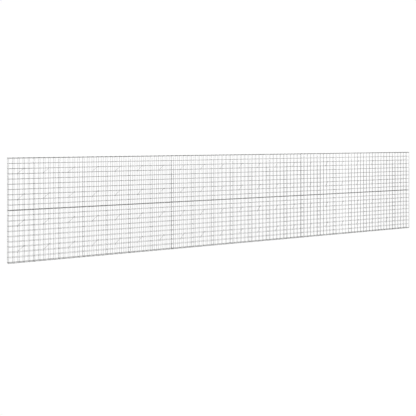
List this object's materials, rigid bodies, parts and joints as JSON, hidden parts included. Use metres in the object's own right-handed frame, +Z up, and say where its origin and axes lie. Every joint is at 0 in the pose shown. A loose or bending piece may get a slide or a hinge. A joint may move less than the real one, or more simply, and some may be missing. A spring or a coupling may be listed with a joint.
{
  "type": "gabion wall",
  "caption": "Long free-standing wall of empty welded mesh baskets in two tiers, with base, covers, dividers and crossties.",
  "frame": {"origin": "on the ground under the middle of the wall", "axes": "+X along the wall to the right as seen from the front, +Y from the front to the back, +Z up"},
  "size_m": [10.4996, 0.12, 2.0186],
  "materials": {
    "galvanised_wire": "hot-dip galvanised, matt silver grey with a faint spangle"
  },
  "bodies": {
    "root": {"base_panel_1": "galvanised_wire", "base_panel_2": "galvanised_wire", "base_panel_3": "galvanised_wire", "front_panel_lower_1": "galvanised_wire", "front_panel_lower_2": "galvanised_wire", "front_panel_lower_3": "galvanised_wire", "front_panel_upper_1": "galvanised_wire", "front_panel_upper_2": "galvanised_wire", "front_panel_upper_3": "galvanised_wire", "back_panel_lower_1": "galvanised_wire", "back_panel_lower_2": "galvanised_wire", "back_panel_lower_3": "galvanised_wire", "back_panel_upper_1": "galvanised_wire", "back_panel_upper_2": "galvanised_wire", "back_panel_upper_3": "galvanised_wire", "dividers_lower_1": "galvanised_wire", "dividers_lower_2": "galvanised_wire", "dividers_lower_3": "galvanised_wire", "dividers_upper_1": "galvanised_wire", "dividers_upper_2": "galvanised_wire", "dividers_upper_3": "galvanised_wire", "crossties_lower_1": "galvanised_wire", "crossties_lower_2": "galvanised_wire", "crossties_lower_3": "galvanised_wire", "crossties_upper_1": "galvanised_wire", "crossties_upper_2": "galvanised_wire", "crossties_upper_3": "galvanised_wire", "end_panel_left_lower": "galvanised_wire", "end_panel_left_upper": "galvanised_wire", "end_panel_right_lower": "galvanised_wire", "end_panel_right_upper": "galvanised_wire", "cover_1": "galvanised_wire", "cover_2": "galvanised_wire", "cover_3": "galvanised_wire"}
  },
  "joints": []
}
